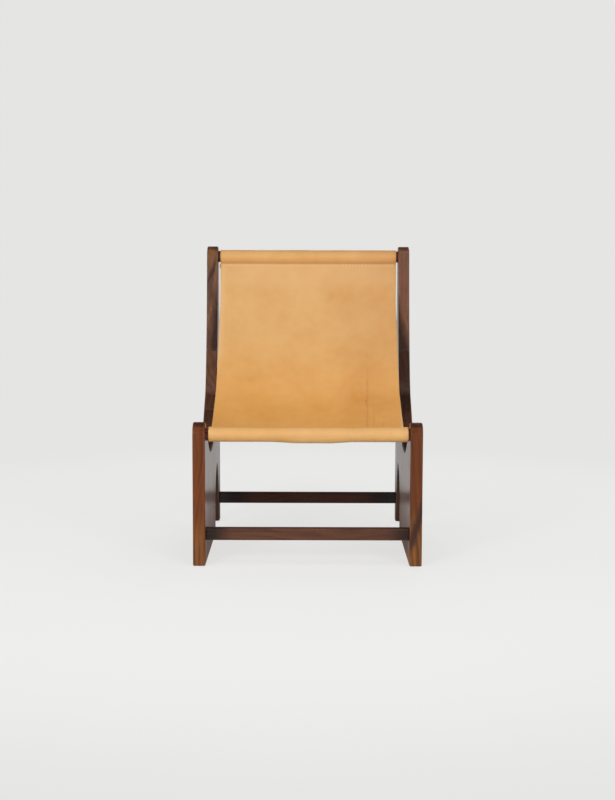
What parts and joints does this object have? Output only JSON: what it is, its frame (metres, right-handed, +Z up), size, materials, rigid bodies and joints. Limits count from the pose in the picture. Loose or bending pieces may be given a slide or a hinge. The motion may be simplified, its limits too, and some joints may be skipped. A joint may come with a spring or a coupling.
{
  "type": "sling lounge chair",
  "caption": "Lounge chair with solid wooden slab sides tied by round rods and stretchers, and a leather sling hung between the rods as seat and back.",
  "frame": {"origin": "on the floor, under the middle of the chair's width and depth", "axes": "+Z up, the front faces -Y, +X towards the sitter's left"},
  "size_m": [0.64, 0.68, 0.888],
  "materials": {
    "walnut": "satin lacquer",
    "leather": "waxed vegetable-tanned saddle leather",
    "zinc_steel": "zinc plated",
    "brass": "as turned",
    "nylon": "matte"
  },
  "bodies": {
    "root": {"left_side_board_1": "walnut", "left_side_board_2": "walnut", "left_side_board_3": "walnut", "left_side_board_4": "walnut", "left_side_board_5": "walnut", "left_side_board_6": "walnut", "right_side_board_1": "walnut", "right_side_board_2": "walnut", "right_side_board_3": "walnut", "right_side_board_4": "walnut", "right_side_board_5": "walnut", "right_side_board_6": "walnut", "front_rod": "walnut", "back_rod": "walnut", "front_stretcher": "walnut", "back_stretcher": "walnut", "left_front_rod_bolt": "zinc_steel", "left_front_rod_insert": "brass", "left_front_rod_plug": "walnut", "left_back_rod_bolt": "zinc_steel", "left_back_rod_insert": "brass", "left_back_rod_plug": "walnut", "left_front_stretcher_bolt": "zinc_steel", "left_front_stretcher_insert": "brass", "left_front_stretcher_plug": "walnut", "left_back_stretcher_bolt": "zinc_steel", "left_back_stretcher_insert": "brass", "left_back_stretcher_plug": "walnut", "right_front_rod_bolt": "zinc_steel", "right_front_rod_insert": "brass", "right_front_rod_plug": "walnut", "right_back_rod_bolt": "zinc_steel", "right_back_rod_insert": "brass", "right_back_rod_plug": "walnut", "right_front_stretcher_bolt": "zinc_steel", "right_front_stretcher_insert": "brass", "right_front_stretcher_plug": "walnut", "right_back_stretcher_bolt": "zinc_steel", "right_back_stretcher_insert": "brass", "right_back_stretcher_plug": "walnut", "left_glide_1": "nylon", "left_glide_2": "nylon", "left_glide_3": "nylon", "right_glide_1": "nylon", "right_glide_2": "nylon", "right_glide_3": "nylon", "leather_sling": "leather"}
  },
  "joints": []
}
